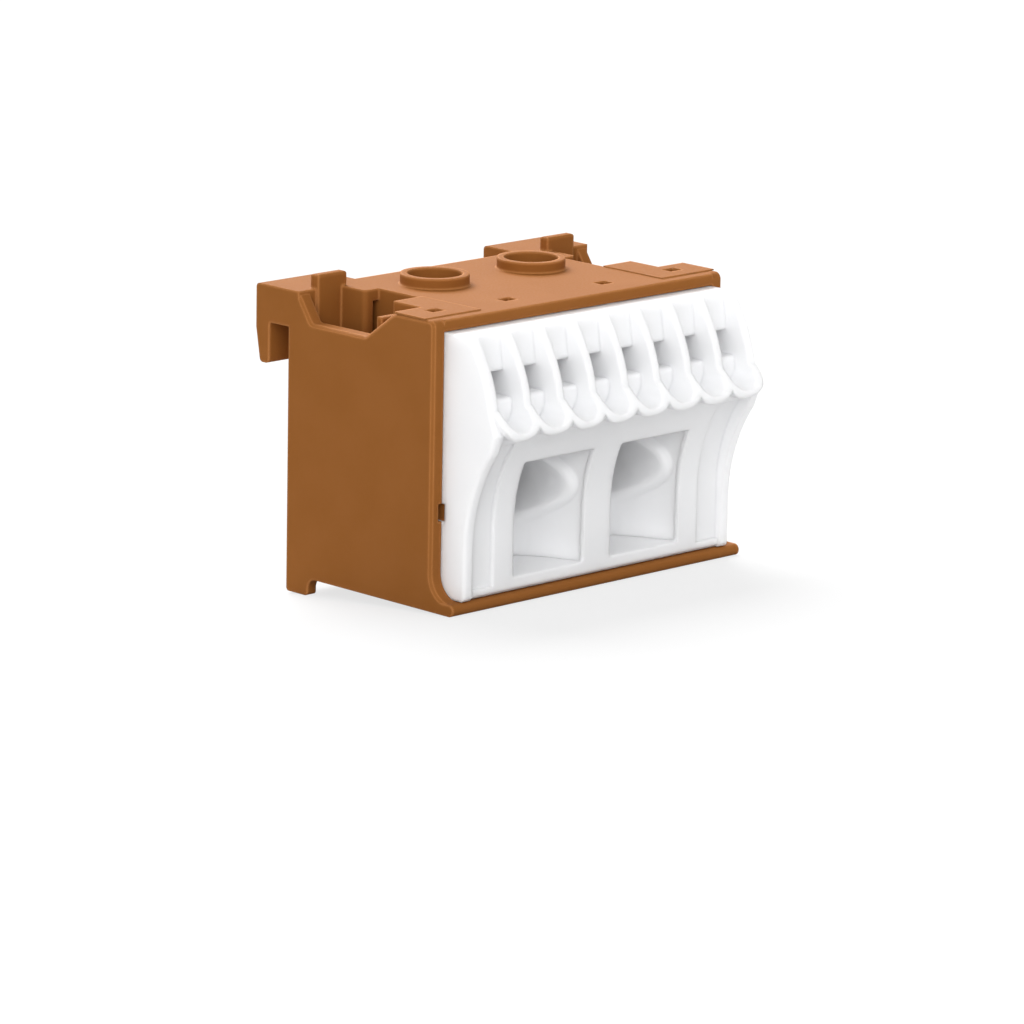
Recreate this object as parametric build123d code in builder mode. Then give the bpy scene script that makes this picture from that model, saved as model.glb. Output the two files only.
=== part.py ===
from build123d import *
import os

# Distribution-board terminal block: a housing that hooks over a support bar, a front moulding with
# eight push-in entries and two clamp openings, and the metal parts between them.
# Millimetres. X runs along the row of entries, -Y is the wiring side, +Z is up.
# The origin is the middle of the flat rear face, level with the ceiling of the hooks' slots.

os.makedirs("parts", exist_ok=True)

# Row of entries, which sets the width
entry_count = 8
entry_pitch = 5.0
rib = 1.0                   # wall between two entries
cheek = 1.3                 # outer entry to the side of the front moulding
seam = 0.1                  # gap between the two mouldings
side_wall = 1.6

# Heights, added up from the underside to the top face
opening_floor = 3.0
opening_height = 13.2
lintel_gap = 0.3            # clamp opening to the tongues of the current bar
comb_rise = 7.4             # underside of the tongues to the top of the comb
chamber_height = 6.2
chamber_roof = 0.8
top_wall = 1.3
rise = 4.2                  # hook seat up to the top face

# Depths, added up from the rear face to the front
clamp_setback = 7.6         # rear face to the clamp screws' axes
cage_depth = 8.0
guide_lead = 1.0            # guide walls in front of the cage
partition = 0.8
bar_bend = 0.5              # inner radius
strip_thickness = 1.5
chamber_depth = 9.7
wall_setback = 2.1          # chambers' front back to the front edge of the side walls

# Housing
rear_wall = 1.6
floor_wall = 1.3
sill_reach = 3.7            # floor beyond the side walls
sill_corner_radius = 3.5
wall_corner_radius = 0.8
wall_edge = 0.3             # bevel on the front edge of the side walls
foot_length = 3.5
foot_height = 2.0
foot_width = 1.3
foot_edge = 0.4
foot_root = 1.2             # fillet where the foot meets the underside

# Rail hooks and thumb tabs
hook_width = 9.9
hook_gap = 3.25             # thickness of the bar that fits the slot, with its play
hook_lip = 2.15
hook_catch = 4.7            # lip below the seat
hook_taper = 0.7
hook_taper_start = 0.8      # below the seat
hook_seat_radius = 0.3
hook_edge = 0.5
tab_width = 4.2
tab_thickness = 1.2
tab_setback = 0.75          # rear face to the tab
tab_inset = 2.6             # side of the block to the tab
tab_height = 1.6            # above the top face
tab_root = 12.0             # tab below the top face
rib_thickness = 1.2         # rounded rib beside the tab
rib_round = 0.55

# Side notch, cut rear corners of the top plate and its raised strips
notch_depth = 3.35
notch_rear = 1.3            # rear face to the notch, along the top
notch_rear_slope = 2.3
notch_front_slope = 4.6
notch_radius = 0.6
corner_step = 5.8           # rear face to the step
corner_narrowing = 2.1
finger_width = 4.0
finger_length = 4.4
strip_inset = 0.2           # outer strip inside the plate's edge
strip_height = 0.15
strip_setback = 1.4

# Collars, probe recesses and the notch for levering the mouldings apart
clamp_pitch = 15.0
collar_diameter = 7.8
collar_bore = 6.2
collar_height = 1.2
collar_edge = 0.3
boss_wall = 1.0
probe_width = 1.8
probe_length = 1.4
probe_depth = 0.9
probe_inset = 4.0           # side of the block to the outer recesses
probe_back = 4.1            # from the plate's front edge
pry_height = 10.9           # middle of the notch above the underside
pry_opening = 2.0
pry_depth = 1.2
pry_width = 0.5
pry_recess = 0.7            # recess beside it in the front moulding
pry_lead = 0.35             # recess in front of the side wall's edge

# Front moulding: reaches are measured from the side walls' front edge
entry_height = 2.8
ramp_top_reach = 2.9
ramp_bottom_reach = 3.6
ramp_edge = 0.4
scoop_reach = 5.1
scoop_edge = 0.5
rib_top_reach = 3.7
rib_foot_reach = 7.2
rib_foot_rise = 0.5         # above the lips' centres
rib_bow = 0.5
lip_drop = 1.1              # entry floor down to the lips' centres
lip_reach = 9.2
lip_shoulder_drop = 1.6
lip_bow = 0.12
lip_edge = 0.7
opening_web = 4.1           # between the two clamp openings
opening_corner = 0.3
mouth_diameter = 20.6       # shallow cone that rounds off the corners of the opening
funnel_diameter = 17.5      # steep cone behind it
funnel_length = 3.3
throat_diameter = 8.2
throat_height = 11.5        # middle of the cones, above the underside
pillar_reach = 3.2
pillar_bend = 9.0           # where its curve starts, above the underside
pillar_top_reach = 7.0
pillar_top_rise = 0.2       # above the bottom of the lips
cheek_reach = 3.6
cheek_bend = 7.0
cheek_top_reach = 7.3
cheek_top_drop = 1.4        # below the bottom of the lips
cheek_tip_reach = 8.1
cheek_tip_rise = 0.8
cheek_edge = 0.25           # bevels
bottom_edge = 0.4
panel_recess = 0.5
panel_post = 3.05           # between the panel and the clamp opening
panel_bottom = 2.4
panel_drop = 0.8            # top of the panel below the bottom of the lips
moulding_wall = 1.2
curtain_thickness = 1.2     # housing wall that closes the chambers

# Current bar
comb_length = 5.8
comb_play = 0.4             # fingers narrower than the entries
bar_edge = 0.7              # end of the strip to the side wall

# Clamps
cage_width = 10.4
cage_wall = 1.2
cage_base = 1.5
cage_top = 2.4
cage_edge = 0.8
cage_clearance = 0.3        # to its guide walls, the tongue and the screw's head
clamp_closed_gap = 1.6      # left under the tongue when the clamp is fully up
tongue_setback = 0.6        # tongue's tip inside the cage
guide_wall = 1.3
screw_diameter = 5.0
screw_head_diameter = 7.4
screw_head_height = 2.6
screw_clearance = 0.08      # radial, in the threaded cage and in the head's boss
screw_tip_gap = 0.1         # tip to the tongue
screw_chamfer = 0.5
head_play = 0.2             # head to the plate above it
driver_slot = 1.2
driver_slot_depth = 1.5
driver_slot_length = 5.6
driver_cross_length = 3.9
serration_depth = 0.4
serration_pitch = 1.6
serration_count = 4

# Contact springs
spring_play = 0.6           # narrower than the entries
spring_thickness = 0.35
spring_bend = 1.2
spring_turn = 2.3           # height of the bent end
spring_seat = 0.1           # gap to the ceiling
spring_end_gap = 0.2        # to the chamber's front and rear
spring_tip_lead = 2.5       # tip in front of the moulding's rear
spring_tip_gap = 0.25       # middle of the tip above the comb

entry_clear = entry_pitch - rib
entry_x = [(i - (entry_count - 1) / 2) * entry_pitch for i in range(entry_count)]
entry_edge = entry_x[-1] + entry_clear / 2
front_half = entry_edge + cheek
inner_half = front_half + seam
half_width = inner_half + side_wall

tongue_level = opening_floor + opening_height + lintel_gap
entry_level = tongue_level + comb_rise
ceiling_level = entry_level + chamber_height
underside = rise - (ceiling_level + chamber_roof + seam + top_wall)
top_face = rise
plate_underside = top_face - top_wall

guide_front = clamp_setback + cage_depth / 2 + guide_lead
partition_front = guide_front + partition
bar_rear = partition_front + 2 * seam
bar_front = bar_rear + strip_thickness
moulding_rear = bar_front + bar_bend + seam
curtain_front = moulding_rear - 2 * seam
chamber_front = moulding_rear + chamber_depth
body_depth = chamber_front - wall_setback
comb_front = moulding_rear + comb_length


def height(above_underside):
    return underside + above_underside


# Housing, drawn for the left half and mirrored
sill_front = body_depth + sill_reach
floor_top = height(floor_wall)
entry_z = height(entry_level)
clamp_x = clamp_pitch / 2
guide_inner = clamp_x - cage_width / 2 - cage_clearance
guide_outer = clamp_x + cage_width / 2 + cage_clearance
corner_wide = guide_outer + guide_wall
corner_narrow = corner_wide + corner_narrowing
finger_front = guide_front + finger_length
strip_front = body_depth - strip_setback
boss_radius = screw_head_diameter / 2 + screw_clearance
head_seat = plate_underside - head_play - screw_head_height
hook_back = hook_gap + hook_lip

with BuildPart() as housing:
    with BuildSketch(Plane.YZ.offset(-half_width)):
        with BuildLine():
            FilletPolyline(
                (0, underside),
                (-sill_front + floor_wall / 2, underside),
                (-sill_front + floor_wall / 2, floor_top),
                (-body_depth, floor_top),
                (-body_depth, top_face),
                (-finger_front, top_face),
                (-finger_front + notch_front_slope, top_face - notch_depth),
                (-notch_rear - notch_rear_slope, top_face - notch_depth),
                (-notch_rear, top_face),
                (0, top_face),
                radius=[
                    0, 0, 0, sill_corner_radius - floor_wall / 2, wall_corner_radius,
                    notch_front_slope / 2, notch_radius, notch_radius, notch_radius / 2, 0,
                ],
                close=True,
            )
        make_face()
    extrude(amount=side_wall)
    chamfer(
        housing.edges().filter_by_position(
            Axis.X, -half_width - seam, -half_width + seam
        ).filter_by_position(
            Axis.Y, -body_depth - sill_reach, -body_depth + wall_corner_radius + seam
        ).filter_by_position(Axis.Z, floor_top - seam, top_face),
        wall_edge,
    )

    # floor with the round front edge of its sill
    with BuildSketch(Plane.YZ.offset(-half_width)):
        with BuildLine():
            Polyline(
                (-sill_front + floor_wall / 2, floor_top),
                (0, floor_top),
                (0, underside),
                (-sill_front + floor_wall / 2, underside),
            )
            ThreePointArc(
                (-sill_front + floor_wall / 2, underside),
                (-sill_front, underside + floor_wall / 2),
                (-sill_front + floor_wall / 2, floor_top),
            )
        make_face()
    extrude(amount=half_width)

    # rear wall
    with BuildSketch(Plane.XZ):
        with Locations((-half_width / 2, (underside + top_face) / 2)):
            Rectangle(half_width, top_face - underside)
    extrude(amount=rear_wall)

    # top plate with its cut corner
    with BuildSketch(Plane.XY.offset(plate_underside)):
        with BuildLine():
            Polyline(
                (0, 0),
                (-half_width, 0),
                (-half_width, -rear_wall),
                (-corner_narrow, -rear_wall),
                (-corner_narrow, -corner_step),
                (-corner_wide, -corner_step),
                (-corner_wide, -guide_front),
                (-half_width + finger_width, -guide_front),
                (-half_width + finger_width, -finger_front),
                (-inner_half, -finger_front),
                (-inner_half, -body_depth),
                (0, -body_depth),
                close=True,
            )
        make_face()
    extrude(amount=top_wall)

    # raised outer strip of the plate
    with BuildSketch(Plane.XY.offset(top_face)):
        with BuildLine():
            Polyline(
                (-half_width, -finger_front),
                (-half_width + finger_width, -finger_front),
                (-half_width + finger_width, -guide_front),
                (-corner_wide + strip_inset, -guide_front),
                (-corner_wide + strip_inset, -strip_front),
                (-half_width, -strip_front),
                close=True,
            )
        make_face()
    extrude(amount=strip_height)

    # hook over the support bar
    with BuildSketch(Plane.YZ.offset(-half_width)):
        with BuildLine():
            FilletPolyline(
                (0, 0),
                (hook_gap, 0),
                (hook_gap, -hook_catch),
                (hook_back - hook_taper, -hook_catch),
                (hook_back, -hook_taper_start),
                (hook_back, top_face),
                (0, top_face),
                radius=[
                    0, hook_seat_radius, hook_edge, hook_edge, 2 * hook_edge, hook_edge, 0,
                ],
                close=True,
            )
        make_face()
    extrude(amount=hook_width)

    # thumb tab in front of the hook
    with BuildSketch(Plane.XY.offset(top_face + tab_height)):
        with Locations((-half_width + tab_inset + tab_width / 2, -tab_setback - tab_thickness / 2)):
            Rectangle(tab_width, tab_thickness)
    extrude(amount=-tab_height - tab_root)

    # rounded rib under the plate's edge beside the tab
    with BuildSketch(Plane.XY.offset(plate_underside)):
        with Locations((-corner_narrow + rib_thickness / 2, -(corner_step + rear_wall) / 2)):
            Rectangle(rib_thickness, corner_step - rear_wall)
    extrude(amount=-tab_root + top_wall)
    fillet(
        housing.edges().filter_by(Axis.Z).filter_by_position(
            Axis.Y, -corner_step - seam, -corner_step + seam
        ).filter_by_position(Axis.X, -corner_narrow - seam, -corner_narrow + seam),
        rib_round,
    )

    # rear foot under the side wall
    with BuildSketch(Plane.YZ.offset(-half_width)):
        with BuildLine():
            FilletPolyline(
                (0, floor_top),
                (0, underside - foot_height),
                (-foot_length, underside - foot_height),
                (-foot_length, underside),
                (-foot_length - 2 * foot_root, underside),
                (-foot_length - 2 * foot_root, floor_top),
                radius=[0, foot_edge, foot_edge, foot_root, 0, 0],
                close=True,
            )
        make_face()
    extrude(amount=foot_width)

    # guide walls of the clamp, and the partition that closes the corner pocket
    guide_length = guide_front - rear_wall
    with BuildSketch(Plane.XY.offset(floor_top)):
        with Locations((-guide_outer - guide_wall / 2, -rear_wall - guide_length / 2)):
            Rectangle(guide_wall, guide_length)
        with Locations((-guide_inner + guide_wall / 2, -rear_wall - guide_length / 2)):
            Rectangle(guide_wall, guide_length)
        with Locations((-(guide_outer + inner_half) / 2, -guide_front - partition / 2)):
            Rectangle(inner_half - guide_outer, partition)
    extrude(amount=plate_underside - floor_top)

    # curtain behind the spring chambers
    with BuildSketch(Plane.XY.offset(entry_z + 2 * seam)):
        with Locations((-inner_half / 2, -curtain_front + curtain_thickness / 2)):
            Rectangle(inner_half, curtain_thickness)
    extrude(amount=plate_underside - entry_z - 2 * seam)

    # boss that keeps the screw's head under the plate
    with BuildSketch(Plane.XY.offset(plate_underside)):
        with Locations((-clamp_x, -clamp_setback)):
            Circle(boss_radius + boss_wall)
    extrude(amount=head_seat - plate_underside)

    # collar round the driver's way in
    with BuildSketch(Plane.XY.offset(top_face)):
        with Locations((-clamp_x, -clamp_setback)):
            Circle(collar_diameter / 2)
    extrude(amount=collar_height)
    fillet(housing.faces().sort_by(Axis.Z)[-1].edges(), collar_edge)
    with Locations(Plane.XY.offset(top_face + collar_height)):
        with Locations((-clamp_x, -clamp_setback)):
            Hole(collar_bore / 2, depth=collar_height + top_wall)
    with BuildSketch(Plane.XY.offset(plate_underside)):
        with Locations((-clamp_x, -clamp_setback)):
            Circle(boss_radius)
    extrude(amount=head_seat - plate_underside, mode=Mode.SUBTRACT)

    # blind probe recesses behind the front edge
    with BuildSketch(Plane.XY.offset(top_face + strip_height)):
        probe_y = -body_depth + probe_back
        with Locations((-clamp_x, probe_y), (-half_width + probe_inset, probe_y)):
            Rectangle(probe_width, probe_length)
    extrude(amount=-probe_depth - strip_height, mode=Mode.SUBTRACT)

    # notch in the wall's front edge, to lever the mouldings apart
    with BuildSketch(Plane.YZ.offset(-inner_half)):
        with Locations((-body_depth, height(pry_height))):
            Rectangle(2 * pry_depth, pry_opening)
    extrude(amount=-pry_width, mode=Mode.SUBTRACT)

    mirror(about=Plane.YZ)

housing.part.label = "housing"
export_step(housing.part, "parts/housing.step")

# Front moulding, drawn for the left half and mirrored
front_bottom = floor_top + seam
front_top = plate_underside - seam
tongue_z = height(tongue_level)
block_top = tongue_z - seam
comb_z = entry_z - strip_thickness
left_x = [x for x in entry_x if x <= 0]
lip_z = entry_z - lip_drop
lip_radius = entry_clear / 2 + rib
lip_bottom = lip_z - lip_radius
lip_front = body_depth + lip_reach
lip_half = entry_x[-1] + lip_radius
front_reach = lip_front + rib
scoop_front = body_depth + scoop_reach
ramp_top_front = body_depth + ramp_top_reach
ramp_bottom_front = body_depth + ramp_bottom_reach
rib_top_front = body_depth + rib_top_reach
pillar_front = body_depth + pillar_reach
pillar_top_front = body_depth + pillar_top_reach
pillar_top = lip_bottom + pillar_top_rise
cheek_front = body_depth + cheek_reach
cheek_top_point = (-body_depth - cheek_top_reach, lip_bottom - cheek_top_drop)
panel_top = lip_bottom - panel_drop
rib_top_point = (-rib_top_front, front_top)
rib_foot_point = (-body_depth - rib_foot_reach, lip_z + rib_foot_rise)
lip_shoulder_point = (-lip_front + seam, lip_z - lip_shoulder_drop)
pillar_top_point = (-pillar_top_front, pillar_top)
opening_width = clamp_pitch - opening_web
opening_z = height(opening_floor + opening_height / 2)

# room of the left clamp opening: a box that two cones narrow to a round throat
throat_z = height(throat_height)
funnel_front = moulding_rear + funnel_length

with BuildPart() as clamp_mouth:
    with BuildSketch(Plane.XZ.offset(bar_rear)):
        with Locations((-clamp_x, opening_z)):
            RectangleRounded(opening_width, opening_height, opening_corner)
    extrude(amount=front_reach - bar_rear)
    with BuildSketch(Plane.XY.offset(throat_z)):
        with BuildLine():
            Polyline(
                (-clamp_x, -bar_rear),
                (-clamp_x - throat_diameter / 2, -bar_rear),
                (-clamp_x - throat_diameter / 2, -moulding_rear),
                (-clamp_x - funnel_diameter / 2, -funnel_front),
                (-clamp_x - mouth_diameter / 2, -pillar_front),
                (-clamp_x - mouth_diameter / 2, -front_reach),
                (-clamp_x, -front_reach),
                close=True,
            )
        make_face()
    revolve(axis=Axis((-clamp_x, 0, throat_z), (0, 1, 0)), mode=Mode.INTERSECT)

with BuildPart() as front_moulding:
    # ribs and lips: a row of cylinders below a straight band, trimmed to their side view
    with BuildSketch(Plane.XZ.offset(pillar_front)):
        with Locations(*[(x, lip_z) for x in left_x]):
            Circle(lip_radius)
        with Locations((-lip_half / 2, (lip_z + front_top) / 2)):
            Rectangle(lip_half, front_top - lip_z)
    extrude(amount=front_reach - pillar_front)
    with BuildSketch(Plane.YZ.offset(-lip_half)):
        with BuildLine():
            SagittaArc(rib_top_point, rib_foot_point, -rib_bow)
            SagittaArc(rib_foot_point, lip_shoulder_point, -lip_bow)
            ThreePointArc(
                lip_shoulder_point,
                (-lip_front, lip_bottom + lip_edge),
                (-lip_front + lip_edge, lip_bottom - seam),
            )
            Polyline(
                (-lip_front + lip_edge, lip_bottom - seam),
                (-pillar_front, lip_bottom - seam),
                (-pillar_front, front_top),
                rib_top_point,
            )
        make_face()
    extrude(amount=lip_half + lip_radius, mode=Mode.INTERSECT)

    # body between the cheeks
    with BuildSketch(Plane.YZ.offset(-entry_edge)):
        with BuildLine():
            Polyline(
                pillar_top_point,
                (-pillar_top_front, (pillar_top + lip_z) / 2),
                (-scoop_front, entry_z),
                ((-ramp_top_front - rib_top_front) / 2, front_top),
                (-moulding_rear, front_top),
                (-moulding_rear, block_top),
                (-bar_rear, block_top),
                (-bar_rear, front_bottom),
                (-pillar_front, front_bottom),
                (-pillar_front, height(pillar_bend)),
            )
            TangentArc((-pillar_front, height(pillar_bend)), pillar_top_point, tangent=(0, 1))
        make_face()
    extrude(amount=entry_edge)

    # cheek
    with BuildSketch(Plane.YZ.offset(-front_half)):
        with BuildLine():
            SagittaArc(rib_top_point, rib_foot_point, -rib_bow)
            Polyline(
                rib_foot_point,
                (-body_depth - cheek_tip_reach, lip_bottom + cheek_tip_rise),
                cheek_top_point,
            )
            TangentArc((-cheek_front, height(cheek_bend)), cheek_top_point, tangent=(0, 1))
            Polyline(
                (-cheek_front, height(cheek_bend)),
                (-cheek_front, front_bottom),
                (-bar_rear, front_bottom),
                (-bar_rear, block_top),
                (-moulding_rear, block_top),
                (-moulding_rear, front_top),
                rib_top_point,
            )
        make_face()
    extrude(amount=cheek)
    chamfer(
        front_moulding.edges().filter_by_position(
            Axis.X, -front_half - seam, -front_half + seam
        ).filter_by_position(Axis.Y, -front_reach, -rib_top_front + seam),
        cheek_edge,
    )
    chamfer(
        front_moulding.edges().filter_by(Axis.X).filter_by_position(
            Axis.Z, front_bottom - seam, front_bottom + seam
        ).filter_by_position(Axis.Y, -front_reach, -pillar_front + seam),
        bottom_edge,
    )

    # entry channels: a ramp above each hole, a scoop in front of it
    for x in left_x:
        with BuildSketch(Plane.YZ.offset(x - entry_clear / 2)):
            with BuildLine():
                FilletPolyline(
                    (-ramp_top_front + 2 * ramp_edge, front_top),
                    (-ramp_top_front, front_top),
                    (-ramp_bottom_front, entry_z + entry_height),
                    (-ramp_bottom_front, entry_z),
                    (-scoop_front, entry_z),
                    (-scoop_front, lip_z),
                    (-front_reach, lip_z),
                    (-front_reach, front_top + rib),
                    (-ramp_top_front + 2 * ramp_edge, front_top + rib),
                    radius=[0, ramp_edge, 0, 0, scoop_edge, 0, 0, 0, 0],
                    close=True,
                )
            make_face()
        extrude(amount=entry_clear, mode=Mode.SUBTRACT)
    with BuildSketch(Plane.XZ.offset(scoop_front)):
        with Locations(*[(x, lip_z) for x in left_x]):
            Circle(entry_clear / 2)
    extrude(amount=front_reach - scoop_front, mode=Mode.SUBTRACT)

    # entry holes, the spring chambers behind them and the slots of the comb
    with BuildSketch(Plane.XZ.offset(moulding_rear)):
        with Locations(*[(x, entry_z + entry_height / 2) for x in left_x]):
            Rectangle(entry_clear, entry_height)
    extrude(amount=ramp_bottom_front - moulding_rear, mode=Mode.SUBTRACT)
    with BuildSketch(Plane.XZ.offset(moulding_rear)):
        with Locations(*[(x, entry_z + chamber_height / 2) for x in left_x]):
            Rectangle(entry_clear, chamber_height)
    extrude(amount=chamber_depth, mode=Mode.SUBTRACT)
    with BuildSketch(Plane.XZ.offset(moulding_rear)):
        with Locations(*[(x, (entry_z + comb_z - seam) / 2) for x in left_x]):
            Rectangle(entry_clear, entry_z - comb_z + seam)
    extrude(amount=comb_length + 2 * seam, mode=Mode.SUBTRACT)

    # clamp opening
    add(clamp_mouth.part, mode=Mode.SUBTRACT)

    # recessed panel between the cheek and the opening
    with BuildSketch(Plane.YZ.offset(-entry_edge)):
        with BuildLine():
            Polyline(
                (-pillar_front + panel_recess, height(pillar_bend)),
                (-pillar_front + panel_recess, height(panel_bottom)),
                (-front_reach, height(panel_bottom)),
                (-front_reach, panel_top),
                (-pillar_top_front + 2 * panel_recess, panel_top),
            )
            TangentArc(
                (-pillar_front + panel_recess, height(pillar_bend)),
                (-pillar_top_front + 2 * panel_recess, panel_top),
                tangent=(0, 1),
            )
        make_face()
    panel_width = entry_edge - clamp_x - opening_width / 2 - panel_post
    extrude(amount=panel_width, mode=Mode.SUBTRACT)

    # recess beside the housing's notch
    with BuildSketch(Plane.YZ.offset(-front_half)):
        pry_length = pry_depth + pry_lead
        with Locations((-body_depth + pry_depth - pry_length / 2, height(pry_height))):
            Rectangle(pry_length, pry_opening)
    extrude(amount=pry_recess, mode=Mode.SUBTRACT)

    # cores from the rear, which keep the walls even
    side_core = entry_edge - clamp_x - opening_width / 2 - moulding_wall
    core_front = pillar_front - panel_recess - moulding_wall
    core_height = opening_height - 2 * moulding_wall
    with BuildSketch(Plane.XZ.offset(bar_rear)):
        with Locations((-entry_edge + side_core / 2, opening_z)):
            Rectangle(side_core, core_height)
        with Locations((0, opening_z)):
            Rectangle(opening_web - 2 * moulding_wall, core_height)
    extrude(amount=core_front - bar_rear, mode=Mode.SUBTRACT)
    with BuildSketch(Plane.XZ.offset(moulding_rear)):
        with Locations(*[(x, (tongue_z + comb_z) / 2) for x in left_x]):
            Rectangle(entry_clear, comb_z - tongue_z - 2 * moulding_wall)
    extrude(amount=core_front - moulding_rear, mode=Mode.SUBTRACT)

    mirror(about=Plane.YZ)

front_moulding.part.label = "front_moulding"
export_step(front_moulding.part, "parts/front_moulding.step")

# Current bar: eight comb fingers above, two clamp tongues below
outer_bend = bar_bend + strip_thickness
bar_half = inner_half - bar_edge
window_width = cage_width - 2 * cage_wall
tongue_width = window_width - 2 * cage_clearance
tongue_rear = clamp_setback - cage_depth / 2 + tongue_setback

with BuildPart() as current_bar:
    with BuildSketch(Plane.YZ.offset(-bar_half)):
        with BuildLine():
            FilletPolyline(
                (-comb_front, comb_z),
                (-comb_front, entry_z),
                (-bar_rear, entry_z),
                (-bar_rear, tongue_z + strip_thickness),
                (-tongue_rear, tongue_z + strip_thickness),
                (-tongue_rear, tongue_z),
                (-bar_front, tongue_z),
                (-bar_front, comb_z),
                radius=[0, 0, outer_bend, bar_bend, 0, 0, outer_bend, bar_bend],
                close=True,
            )
        make_face()
    extrude(amount=2 * bar_half)

    # gaps between the fingers
    finger_y = -(moulding_rear + comb_front) / 2
    finger_clear = entry_clear - comb_play
    end_gap = bar_half - entry_x[-1] - finger_clear / 2
    with BuildSketch(Plane.XY.offset(comb_z)):
        with Locations(*[(x + entry_pitch / 2, finger_y) for x in entry_x[:-1]]):
            Rectangle(entry_pitch - finger_clear, comb_length + 2 * seam)
        with Locations((bar_half - end_gap / 2, finger_y), (-bar_half + end_gap / 2, finger_y)):
            Rectangle(end_gap, comb_length + 2 * seam)
    extrude(amount=strip_thickness, mode=Mode.SUBTRACT)

    # gaps beside the tongues
    tongue_length = bar_rear - tongue_rear
    tongue_y = -tongue_rear - tongue_length / 2
    side_gap = bar_half - clamp_x - tongue_width / 2
    with BuildSketch(Plane.XY.offset(tongue_z)):
        with Locations((0, tongue_y)):
            Rectangle(clamp_pitch - tongue_width, tongue_length)
        with Locations((bar_half - side_gap / 2, tongue_y), (-bar_half + side_gap / 2, tongue_y)):
            Rectangle(side_gap, tongue_length)
    extrude(amount=strip_thickness + bar_bend, mode=Mode.SUBTRACT)

current_bar.part.label = "current_bar"
export_step(current_bar.part, "parts/current_bar.step")

# Clamps: each cage rises on its screw until it nearly meets the head
cage_room = head_seat - cage_clearance - tongue_z - strip_thickness
clamp_travel = cage_room - cage_clearance - cage_top
cage_bottom = tongue_z - clamp_closed_gap - cage_base - clamp_travel
window_height = strip_thickness + clamp_closed_gap + clamp_travel + cage_clearance
cage_height = cage_base + window_height + cage_top
screw_tip = tongue_z + strip_thickness + screw_tip_gap
groove_y = [
    -clamp_setback + (i - (serration_count - 1) / 2) * serration_pitch
    for i in range(serration_count)
]

for side, x in (("left", -clamp_x), ("right", clamp_x)):
    with BuildPart() as clamp_cage:
        with BuildSketch(Plane.XY.offset(cage_bottom)):
            with Locations((x, -clamp_setback)):
                Rectangle(cage_width, cage_depth)
        extrude(amount=cage_height)
        fillet(clamp_cage.edges().filter_by(Axis.Y), cage_edge)

        # window for the conductor and the tongue
        with BuildSketch(Plane.XZ.offset(clamp_setback - cage_depth / 2)):
            with Locations((x, cage_bottom + cage_base + window_height / 2)):
                Rectangle(window_width, window_height)
        extrude(amount=cage_depth, mode=Mode.SUBTRACT)

        # grooves that grip the conductor
        with BuildSketch(Plane.YZ.offset(x - window_width / 2)):
            with Locations(*[(y, cage_bottom + cage_base) for y in groove_y]):
                RegularPolygon(serration_depth, 4)
        extrude(amount=window_width, mode=Mode.SUBTRACT)

        # threaded bore
        with Locations(Plane.XY.offset(cage_bottom + cage_height)):
            with Locations((x, -clamp_setback)):
                Hole(screw_diameter / 2 + screw_clearance, depth=cage_top)

    clamp_cage.part.label = f"clamp_cage_{side}"
    export_step(clamp_cage.part, f"parts/clamp_cage_{side}.step")

    with BuildPart() as clamp_screw:
        with BuildSketch(Plane.XY.offset(head_seat)):
            with Locations((x, -clamp_setback)):
                Circle(screw_head_diameter / 2)
        extrude(amount=screw_head_height)
        chamfer(clamp_screw.faces().sort_by(Axis.Z)[-1].edges(), screw_chamfer)
        with BuildSketch(Plane.XY.offset(head_seat)):
            with Locations((x, -clamp_setback)):
                Circle(screw_diameter / 2)
        extrude(amount=screw_tip - head_seat)
        chamfer(clamp_screw.faces().sort_by(Axis.Z)[0].edges(), screw_chamfer)

        # slot with a cross recess
        with BuildSketch(Plane.XY.offset(head_seat + screw_head_height)):
            with Locations((x, -clamp_setback)):
                Rectangle(driver_slot_length, driver_slot)
                Rectangle(driver_slot, driver_cross_length)
        extrude(amount=-driver_slot_depth, mode=Mode.SUBTRACT)

    clamp_screw.part.label = f"clamp_screw_{side}"
    export_step(clamp_screw.part, f"parts/clamp_screw_{side}.step")

# Contact springs, one behind each entry
spring_width = entry_clear - spring_play
spring_rear = -moulding_rear - spring_end_gap
spring_front = -chamber_front + spring_end_gap + spring_thickness / 2
spring_z = entry_z + chamber_height - spring_seat - spring_thickness / 2

for number, x in enumerate(entry_x, start=1):
    with BuildPart() as contact_spring:
        with BuildSketch(Plane.YZ.offset(x - spring_width / 2)):
            with BuildLine():
                FilletPolyline(
                    (spring_rear, spring_z),
                    (spring_front, spring_z),
                    (spring_front, spring_z - spring_turn),
                    (-moulding_rear - spring_tip_lead, entry_z + spring_tip_gap),
                    radius=spring_bend,
                )
            trace(line_width=spring_thickness)
        extrude(amount=spring_width)
    contact_spring.part.label = f"contact_spring_{number}"
    export_step(contact_spring.part, f"parts/contact_spring_{number}.step")
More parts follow.
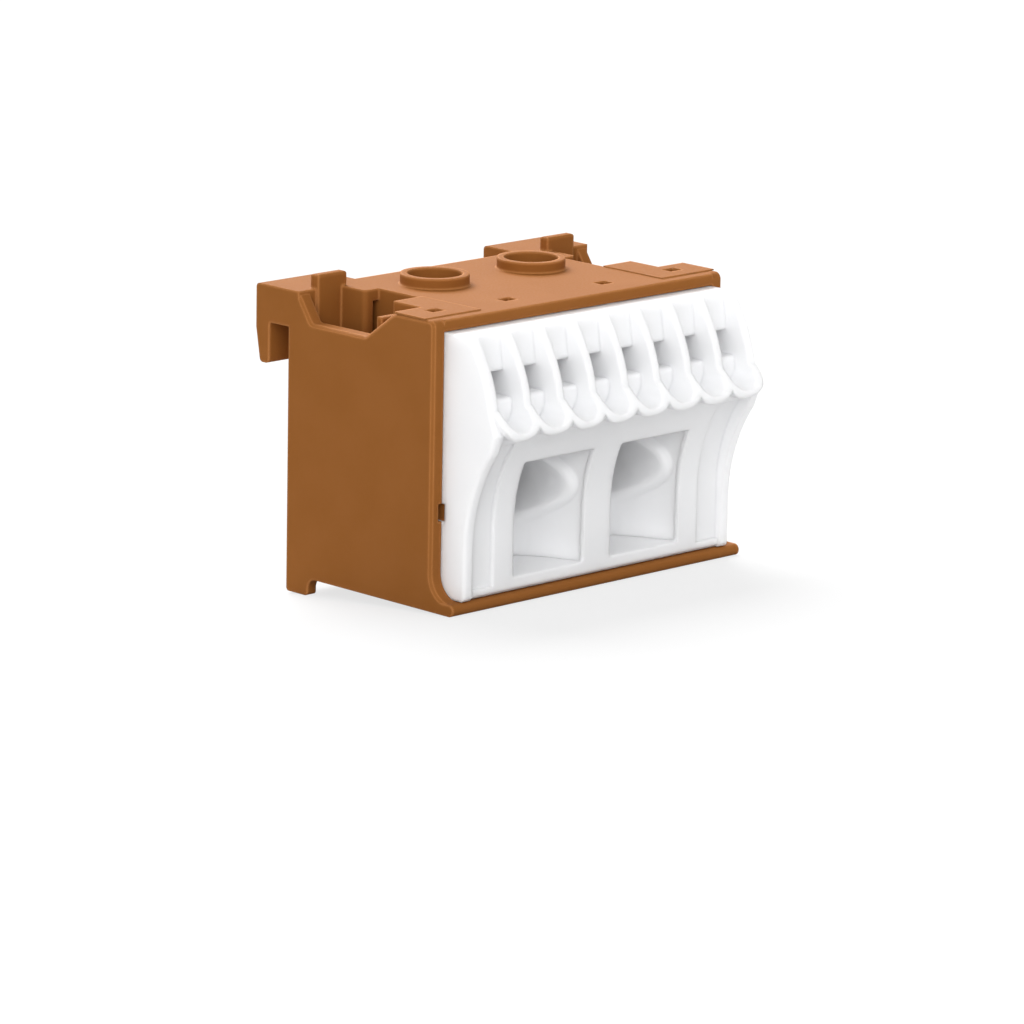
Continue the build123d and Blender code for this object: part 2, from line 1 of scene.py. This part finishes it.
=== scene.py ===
import bpy
import math
import numpy as np
from mathutils import Matrix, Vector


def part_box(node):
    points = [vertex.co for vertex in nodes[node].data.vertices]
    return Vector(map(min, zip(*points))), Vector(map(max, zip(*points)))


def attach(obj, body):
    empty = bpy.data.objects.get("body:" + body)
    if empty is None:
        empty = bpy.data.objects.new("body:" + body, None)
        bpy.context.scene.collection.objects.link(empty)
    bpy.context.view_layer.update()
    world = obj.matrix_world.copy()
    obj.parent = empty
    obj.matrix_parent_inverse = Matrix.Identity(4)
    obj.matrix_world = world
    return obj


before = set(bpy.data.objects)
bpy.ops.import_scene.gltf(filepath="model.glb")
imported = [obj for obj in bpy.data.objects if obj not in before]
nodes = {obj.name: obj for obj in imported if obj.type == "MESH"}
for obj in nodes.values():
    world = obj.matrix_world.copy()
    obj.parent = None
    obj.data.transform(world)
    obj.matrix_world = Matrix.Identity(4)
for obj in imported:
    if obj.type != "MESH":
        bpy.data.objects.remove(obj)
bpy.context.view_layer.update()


# materials: every pattern is a noise or wave on object coordinates, in metres

def newMaterial(name, shaderValues):
    # one shader on its output, with its fixed values on the shader's own sockets
    material = bpy.data.materials.new(name)
    material.use_nodes = True
    tree = material.node_tree
    tree.nodes.clear()
    output = tree.nodes.new("ShaderNodeOutputMaterial")
    shader = tree.nodes.new("ShaderNodeBsdfPrincipled")
    tree.links.new(shader.outputs["BSDF"], output.inputs["Surface"])
    for socket, value in shaderValues.items():
        shader.inputs[socket].default_value = value
    return material, tree, shader


def placedCoordinates(tree, centre=(0, 0, 0), stretch=(1, 1, 1)):
    # object coordinates, moved to a centre and stretched along each axis
    coordinates = tree.nodes.new("ShaderNodeTexCoord")
    mapping = tree.nodes.new("ShaderNodeMapping")
    mapping.inputs["Location"].default_value = [-c * s for c, s in zip(centre, stretch)]
    mapping.inputs["Scale"].default_value = stretch
    tree.links.new(coordinates.outputs["Object"], mapping.inputs["Vector"])
    return mapping.outputs["Vector"]


def noisePattern(tree, vector, grainSize, detail=3.0, roughness=0.5):
    noise = tree.nodes.new("ShaderNodeTexNoise")
    noise.inputs["Scale"].default_value = 1.0 / grainSize
    noise.inputs["Detail"].default_value = detail
    noise.inputs["Roughness"].default_value = roughness
    tree.links.new(vector, noise.inputs["Vector"])
    return noise.outputs["Fac"]


def spread(tree, value, fromLow, fromHigh, toLow, toHigh):
    # stretches part of a pattern over a new range, and clips what lies outside
    mapRange = tree.nodes.new("ShaderNodeMapRange")
    sockets = ("From Min", "From Max", "To Min", "To Max")
    for socket, number in zip(sockets, (fromLow, fromHigh, toLow, toHigh)):
        mapRange.inputs[socket].default_value = number
    tree.links.new(value, mapRange.inputs["Value"])
    return mapRange.outputs["Result"]


def twoColours(tree, factor, colourA, colourB):
    mix = tree.nodes.new("ShaderNodeMix")
    mix.data_type = "RGBA"
    mix.inputs[6].default_value = (*colourA, 1)
    mix.inputs[7].default_value = (*colourB, 1)
    tree.links.new(factor, mix.inputs["Factor"])
    return mix.outputs[2]


def addBump(tree, shader, height, depth, normal=None):
    bump = tree.nodes.new("ShaderNodeBump")
    bump.inputs["Strength"].default_value = 1.0
    bump.inputs["Distance"].default_value = depth
    tree.links.new(height, bump.inputs["Height"])
    if normal is not None:
        tree.links.new(normal, bump.inputs["Normal"])
    tree.links.new(bump.outputs["Normal"], shader.inputs["Normal"])
    return bump.outputs["Normal"]


patternSettings = {
    "cloudDetail": 4.0,
    "grainDetail": 2.0,
    "waveDetail": 1.0,
    "cloudRange": (0.35, 0.65),
    "grainRange": (0.3, 0.7),
    # painted highlight on rounded edges: where it begins and where it is full
    "edgeHighlightRange": (0.995, 0.88),    # agreement of the two normals where the pale edge begins and is full
    "edgeSamples": 6,
}
brownPlastic = {
    "colourA": (0.262, 0.096, 0.022),
    "colourB": (0.250, 0.090, 0.019),
    "cloudSize": 0.006,
    "grainSize": 0.00028,
    "grainDepth": 0.000006,
    "waveSize": 0.0035,
    "waveDepth": 0.00001,
    "roughnessLow": 0.60,
    "roughnessHigh": 0.72,
    "edgeRadius": 0.0005,
    # painted highlight: the lighter brown laid on rounded edges
    "edgeHighlightColour": (0.46, 0.185, 0.058),
}
whitePlastic = {
    "colourA": (0.862, 0.864, 0.873),
    "colourB": (0.852, 0.855, 0.866),
    "cloudSize": 0.005,
    "grainSize": 0.0005,
    "grainDepth": 0.000002,
    "waveSize": 0.004,
    "waveDepth": 0.000008,
    "roughnessLow": 0.30,
    "roughnessHigh": 0.42,
    "edgeRadius": 0.00045,
}


def mouldedPlastic(name, look, extra):
    # clouds tint the colour and a fine grain the gloss; slow waves and the grain shape the surface; where a
    # look gives an edge highlight colour, its rounded edges get a painted highlight
    material, tree, shader = newMaterial(name, extra)
    vector = placedCoordinates(tree)
    pattern = patternSettings
    clouds = noisePattern(tree, vector, look["cloudSize"], pattern["cloudDetail"])
    grain = noisePattern(tree, vector, look["grainSize"], pattern["grainDetail"])
    waves = noisePattern(tree, vector, look["waveSize"], pattern["waveDetail"])
    cloudiness = spread(tree, clouds, *pattern["cloudRange"], 0, 1)
    tint = twoColours(tree, cloudiness, look["colourA"], look["colourB"])
    gloss = spread(tree, grain, *pattern["grainRange"], look["roughnessLow"], look["roughnessHigh"])
    tree.links.new(gloss, shader.inputs["Roughness"])
    rounded = tree.nodes.new("ShaderNodeBevel")  # softens every moulded edge
    rounded.samples = pattern["edgeSamples"]
    rounded.inputs["Radius"].default_value = look["edgeRadius"]
    if "edgeHighlightColour" in look:
        # painted highlight: the colour pales to a lighter brown where the softened normal leaves the flat
        # face's own, standing in for light caught on the rounded edges
        flat = tree.nodes.new("ShaderNodeNewGeometry")
        agreement = tree.nodes.new("ShaderNodeVectorMath")
        agreement.operation = "DOT_PRODUCT"
        tree.links.new(rounded.outputs["Normal"], agreement.inputs[0])
        tree.links.new(flat.outputs["True Normal"], agreement.inputs[1])
        highlightShare = spread(tree, agreement.outputs["Value"], *pattern["edgeHighlightRange"], 0, 1)
        paintedHighlightTint = twoColours(tree, highlightShare, look["colourA"], look["edgeHighlightColour"])
        tree.links.new(tint, paintedHighlightTint.node.inputs[6])
        tint = paintedHighlightTint
    tree.links.new(tint, shader.inputs["Base Color"])
    wavy = addBump(tree, shader, waves, look["waveDepth"], rounded.outputs["Normal"])
    addBump(tree, shader, grain, look["grainDepth"], wavy)
    return material


metalSettings = {
    "grainDetail": 3.0,
    "cloudDetail": 3.0,
    "cloudSize": 0.003,
    "cloudRange": (0.4, 0.7),
    "grainRange": (0.3, 0.7),
}
metalLooks = {
    "barMetal": {"colour": (0.80, 0.57, 0.29), "worn": (0.70, 0.47, 0.22), "stretch": (0.04, 1, 1),
                 "grain": 0.00018, "depth": 0.0000012, "roughness": (0.24, 0.38)},
    "cageSteel": {"colour": (0.74, 0.75, 0.76), "worn": (0.62, 0.62, 0.60), "stretch": (1, 1, 1),
                  "grain": 0.0006, "depth": 0.000002, "roughness": (0.26, 0.42)},
    "screwSteel": {"colour": (0.70, 0.71, 0.72), "worn": (0.55, 0.55, 0.54), "stretch": (1, 1, 1),
                   "grain": 0.0005, "depth": 0.000002, "roughness": (0.24, 0.40)},
    "springSteel": {"colour": (0.66, 0.66, 0.68), "worn": (0.58, 0.58, 0.60), "stretch": (1, 0.06, 0.06),
                    "grain": 0.00012, "depth": 0.000001, "roughness": (0.16, 0.28)},
}


def stripMetal(name):
    # rolled or plated metal: a grain that is drawn out along the strip
    look, pattern = metalLooks[name], metalSettings
    material, tree, shader = newMaterial(name, {"Metallic": 1.0})
    vector = placedCoordinates(tree, stretch=look["stretch"])
    grain = noisePattern(tree, vector, look["grain"], pattern["grainDetail"])
    clouds = noisePattern(tree, placedCoordinates(tree), pattern["cloudSize"], pattern["cloudDetail"])
    tint = twoColours(tree, spread(tree, clouds, *pattern["cloudRange"], 0, 1), look["colour"], look["worn"])
    tree.links.new(tint, shader.inputs["Base Color"])
    gloss = spread(tree, grain, *pattern["grainRange"], *look["roughness"])
    tree.links.new(gloss, shader.inputs["Roughness"])
    addBump(tree, shader, grain, look["depth"])
    return material


brownShader = {"Specular IOR Level": 0.06}
whiteShader = {
    "Specular IOR Level": 0.35,
    "Subsurface Weight": 0.8,
    "Subsurface Scale": 0.0015,
    "Subsurface Radius": (1.0, 1.0, 1.0),
}
materials = {
    "brownPlastic": mouldedPlastic("brownPlastic", brownPlastic, brownShader),
    "whitePlastic": mouldedPlastic("whitePlastic", whitePlastic, whiteShader),
}
for metalName in metalLooks:
    materials[metalName] = stripMetal(metalName)

nodeMaterials = {
    "housing": "brownPlastic",
    "front_moulding": "whitePlastic",
    "current_bar": "barMetal",
    "clamp_cage": "cageSteel",
    "clamp_screw": "screwSteel",
    "contact_spring": "springSteel",
}


def dress(piece, material):
    piece.data.materials.clear()
    piece.data.materials.append(material)


for nodeName, node in nodes.items():
    for prefix, materialName in nodeMaterials.items():
        if nodeName.startswith(prefix):
            dress(node, materials[materialName])
print("materials set")


# funnel in each clamp opening: a curved wall in front of the moulding's cones, open to the round throat

funnelSettings = {
    "halfWidth": 0.00545,
    "floorRise": 0.0016,       # above the underside of the front moulding
    "ceilingRise": 0.0148,
    "hidden": 0.0006,          # how far the outline reaches into the moulding all round
    "throatRise": 0.0101,
    "throatRadius": 0.00408,
    "throatRound": 0.0012,
    "throatEnd": -0.01565,
    "wallBack": -0.0186,
    "wallFront": -0.0260,
    "bowStart": 0.0076,        # the moulding's face bows forward above this height
    "bowRadius": 0.01782,
    "curve": 2.1,
    "sidePoints": 24,
    "wallPoints": 16,
    "wallCrowding": 0.8,       # below 1 the rows crowd towards the throat
    "roundPoints": 6,
}


pieceSettings = {"sharpAngle": 30.0}


def newPiece(name, points, quads, body, material):
    # faces turn outwards: the signed volume of the closed surface has to be positive
    a, b, c, d = (points[quads[:, i]] for i in range(4))
    volume = np.einsum("ij,ij->i", a, np.cross(b, c) + np.cross(c, d)).sum()
    if volume < 0:
        quads = quads[:, ::-1]
    mesh = bpy.data.meshes.new(name)
    mesh.from_pydata(points.tolist(), [], quads.tolist())
    mesh.shade_smooth()
    mesh.set_sharp_from_angle(angle=math.radians(pieceSettings["sharpAngle"]))
    piece = bpy.data.objects.new(name, mesh)
    bpy.context.scene.collection.objects.link(piece)
    dress(piece, material)
    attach(piece, body)
    return piece


def ringQuads(rows, columns):
    # quads of a grid of points that closes in both directions
    index = np.arange(rows * columns).reshape(rows, columns)
    below, beside = np.roll(index, -1, axis=0), np.roll(index, -1, axis=1)
    return np.stack([index, beside, np.roll(below, -1, axis=1), below], axis=-1).reshape(-1, 4)


def openingFunnel(s, centreX, underside):
    # rows run round the opening's outline and shrink towards the throat's circle, each point at the depth
    # back - (back - front) * (|x| / half width) ** curve; the last rows turn into the throat, then go back
    # to the outline inside the moulding, which closes the surface
    n = s["sidePoints"]
    w = s["halfWidth"] + s["hidden"]
    low = s["floorRise"] - s["hidden"] - s["throatRise"]
    high = s["ceilingRise"] + s["hidden"] - s["throatRise"]
    across, upwards = np.linspace(-w, w, n, endpoint=False), np.linspace(low, high, n, endpoint=False)
    outX = np.concatenate([across, np.full(n, w), -across, np.full(n, -w)])
    outZ = np.concatenate([np.full(n, low), upwards, np.full(n, high), low + high - upwards])
    reach = np.hypot(outX, outZ)
    dirX, dirZ = outX / reach, outZ / reach

    def depth(x, z):
        above = np.maximum(z + s["throatRise"] - s["bowStart"], 0)
        bow = s["bowRadius"] - np.sqrt(s["bowRadius"] ** 2 - above ** 2)
        front = s["wallFront"] - bow
        share = np.minimum(np.abs(x) / s["halfWidth"], 1)
        return s["wallBack"] - (s["wallBack"] - front) * share ** s["curve"]

    r, e = s["throatRadius"], s["throatRound"]
    rows = []
    for share in np.linspace(0, 1, s["wallPoints"]) ** s["wallCrowding"]:
        radius = reach + (r + e - reach) * share
        x, z = radius * dirX, radius * dirZ
        rows.append((x, depth(x, z), z))
    edge = rows[-1][1]
    for turn in np.linspace(0, math.pi / 2, s["roundPoints"])[1:]:
        radius = r + e * (1 - math.sin(turn))
        rows.append((radius * dirX, edge + e * (1 - math.cos(turn)), radius * dirZ))
    end = np.full_like(reach, s["throatEnd"])
    rows.append((r * dirX, end, r * dirZ))
    rows.append((outX, end, outZ))
    grid = np.stack([np.stack(row, axis=-1) for row in rows])
    return grid + np.array([centreX, 0, underside + s["throatRise"]])


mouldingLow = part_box("front_moulding")[0]
for side in ("left", "right"):
    cageLow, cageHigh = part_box("clamp_cage_" + side)
    funnelGrid = openingFunnel(funnelSettings, (cageLow[0] + cageHigh[0]) / 2, mouldingLow[2])
    newPiece("opening_funnel_" + side, funnelGrid.reshape(-1, 3), ringQuads(*funnelGrid.shape[:2]), "block",
             materials["whitePlastic"])
print("funnels set")


# painted shade: a sheet of the housing's brown in the slot beside each pry notch, standing in for the shade
# of the open gap into the block

prySettings = {
    "insideX": 0.02005,
    "outsideX": 0.0205,
    "rearY": -0.02205,
    "frontY": -0.0237,
    "middleZ": -0.0172,
    "halfHeight": 0.00105,
}


def blockPoints(low, high):
    # the eight corners low + (high - low) * (i, j, k), and its six faces
    corners = np.array(np.meshgrid((0, 1), (0, 1), (0, 1), indexing="ij")).reshape(3, -1).T
    quads = np.array([(0, 1, 3, 2), (4, 6, 7, 5), (0, 4, 5, 1), (2, 3, 7, 6), (0, 2, 6, 4), (1, 5, 7, 3)])
    return np.array(low) + (np.array(high) - np.array(low)) * corners, quads


# painted shade: a brown sheet that darkens the slot where only shade lies
def pryShadeSheet(s, side, sign):
    insideX, outsideX = sign * s["insideX"], sign * s["outsideX"]
    low = (min(insideX, outsideX), s["frontY"], s["middleZ"] - s["halfHeight"])
    high = (max(insideX, outsideX), s["rearY"], s["middleZ"] + s["halfHeight"])
    points, quads = blockPoints(low, high)
    newPiece("pry_shade_sheet_" + side, points, quads, "block", materials["brownPlastic"])


pryShadeSheet(prySettings, "left", -1)
pryShadeSheet(prySettings, "right", 1)
print("pry slots set")


# floor: it touches the rear feet and the sill, so it leans a little against the block

floorSettings = {
    "footY": -0.0031,
    "footZ": -0.0301,
    "sillY": -0.0265,
    "sillZ": -0.0281,
    "halfSize": 3.0,
    "bounce": (0.42, 0.42, 0.42),
    "seenDiffuse": 0.16,
    "seenGlow": 0.73,
}


def seenBackground(tree):
    # 1 for rays that look straight at the background, or see it mirrored or through glass
    path = tree.nodes.new("ShaderNodeLightPath")
    total = path.outputs["Is Camera Ray"]
    for name in ("Is Glossy Ray", "Is Transmission Ray"):
        adder = tree.nodes.new("ShaderNodeMath")
        adder.operation = "ADD"
        adder.use_clamp = True
        tree.links.new(total, adder.inputs[0])
        tree.links.new(path.outputs[name], adder.inputs[1])
        total = adder.outputs["Value"]
    return total


def makeFloor(s):
    slope = (s["sillZ"] - s["footZ"]) / (s["sillY"] - s["footY"])
    half = s["halfSize"]
    corners = [(x, y, s["footZ"] + slope * (y - s["footY"])) for x, y in
               ((-half, -half), (half, -half), (half, half), (-half, half))]
    mesh = bpy.data.meshes.new("floor")
    mesh.from_pydata(corners, [], [(0, 1, 2, 3)])
    floor = bpy.data.objects.new("floor", mesh)
    bpy.context.scene.collection.objects.link(floor)
    material = bpy.data.materials.new("floorPaper")
    material.use_nodes = True
    tree = material.node_tree
    tree.nodes.clear()
    output = tree.nodes.new("ShaderNodeOutputMaterial")
    bounce = tree.nodes.new("ShaderNodeBsdfDiffuse")
    bounce.inputs["Color"].default_value = (*s["bounce"], 1)
    seen = tree.nodes.new("ShaderNodeBsdfDiffuse")
    seen.inputs["Color"].default_value = (s["seenDiffuse"],) * 3 + (1,)
    glow = tree.nodes.new("ShaderNodeEmission")
    glow.inputs["Strength"].default_value = s["seenGlow"]
    both = tree.nodes.new("ShaderNodeAddShader")
    mix = tree.nodes.new("ShaderNodeMixShader")
    tree.links.new(seen.outputs["BSDF"], both.inputs[0])
    tree.links.new(glow.outputs["Emission"], both.inputs[1])
    tree.links.new(seenBackground(tree), mix.inputs["Fac"])
    tree.links.new(bounce.outputs["BSDF"], mix.inputs[1])
    tree.links.new(both.outputs["Shader"], mix.inputs[2])
    tree.links.new(mix.outputs["Shader"], output.inputs["Surface"])
    dress(floor, material)


makeFloor(floorSettings)
print("floor set")


# light: a soft key behind and right of the block, a fill beside the camera, and an even sky

lampSettings = {
    "key": {"power": 5.4, "spread": 40.0, "azimuth": 202.0, "elevation": 41.0},
    "fill": {"power": 1.96, "spread": 60.0, "azimuth": 45.0, "elevation": 24.0},
}
lampPlace = (0, 0, 0.5)
skySettings = {"light": 0.63, "seen": 1.0}


def aimedAxes(azimuth, elevation):
    # a rotation whose +Z points at a place in the sky; azimuth 0 is the wiring side, 90 the left
    a, e = math.radians(azimuth), math.radians(elevation)
    back = np.array((-math.sin(a) * math.cos(e), -math.cos(a) * math.cos(e), math.sin(e)))
    right = np.array((math.cos(a), -math.sin(a), 0.0))
    up = np.cross(back, right)
    return right, up, back


def framed(right, up, back, place):
    return Matrix([[right[i], up[i], back[i], place[i]] for i in range(3)] + [[0, 0, 0, 1]])


for lampName, lamp in lampSettings.items():
    lampData = bpy.data.lights.new(lampName, "SUN")
    lampData.energy = lamp["power"]
    lampData.angle = math.radians(lamp["spread"])
    lampObject = bpy.data.objects.new(lampName, lampData)
    bpy.context.scene.collection.objects.link(lampObject)
    lampObject.matrix_world = framed(*aimedAxes(lamp["azimuth"], lamp["elevation"]), lampPlace)

world = bpy.data.worlds.new("sky")
bpy.context.scene.world = world
world.use_nodes = True
skyTree = world.node_tree
skyTree.nodes.clear()
skyOutput = skyTree.nodes.new("ShaderNodeOutputWorld")
skyLight = skyTree.nodes.new("ShaderNodeBackground")
skySeen = skyTree.nodes.new("ShaderNodeBackground")
skyMix = skyTree.nodes.new("ShaderNodeMixShader")
skyLight.inputs["Strength"].default_value = skySettings["light"]
skySeen.inputs["Strength"].default_value = skySettings["seen"]
for background in (skyLight, skySeen):
    background.inputs["Color"].default_value = (1, 1, 1, 1)
skyTree.links.new(seenBackground(skyTree), skyMix.inputs["Fac"])
skyTree.links.new(skyLight.outputs["Background"], skyMix.inputs[1])
skyTree.links.new(skySeen.outputs["Background"], skyMix.inputs[2])
skyTree.links.new(skyMix.outputs["Shader"], skyOutput.inputs["Surface"])
print("lamps set")


# camera: the view solved from the photograph, a long lens left of the wiring side

cameraSettings = {
    "azimuth": 44.429,
    "elevation": 13.263,
    "roll": 1.073,
    "target": (0.0, -0.013, -0.0111),
    "offset": (0.000241, 0.010762),
    "distance": 0.670372,
    "sensor": 36.0,
    "focalPixels": 5966.772,       # at a picture width of 1024 pixels
    "pictureWidth": 1024,
    "nearClip": 0.01,
    "farClip": 20.0,
}


def photoFrame(s):
    # axes from azimuth, elevation and roll; the target lies off the picture's middle by the offset
    right, up, back = aimedAxes(s["azimuth"], s["elevation"])
    r = math.radians(s["roll"])
    rolledRight = math.cos(r) * right + math.sin(r) * up
    rolledUp = -math.sin(r) * right + math.cos(r) * up
    place = np.array(s["target"]) - s["offset"][0] * rolledRight - s["offset"][1] * rolledUp
    return framed(rolledRight, rolledUp, back, place + s["distance"] * back)


cameraData = bpy.data.cameras.new("photoCamera")
cameraData.sensor_width = cameraSettings["sensor"]
cameraData.lens = cameraSettings["focalPixels"] / cameraSettings["pictureWidth"] * cameraSettings["sensor"]
cameraData.clip_start = cameraSettings["nearClip"]
cameraData.clip_end = cameraSettings["farClip"]
camera = bpy.data.objects.new("photoCamera", cameraData)
bpy.context.scene.collection.objects.link(camera)
camera.matrix_world = photoFrame(cameraSettings)
bpy.context.scene.camera = camera
bpy.context.scene.view_settings.view_transform = "Standard"
print("camera set")
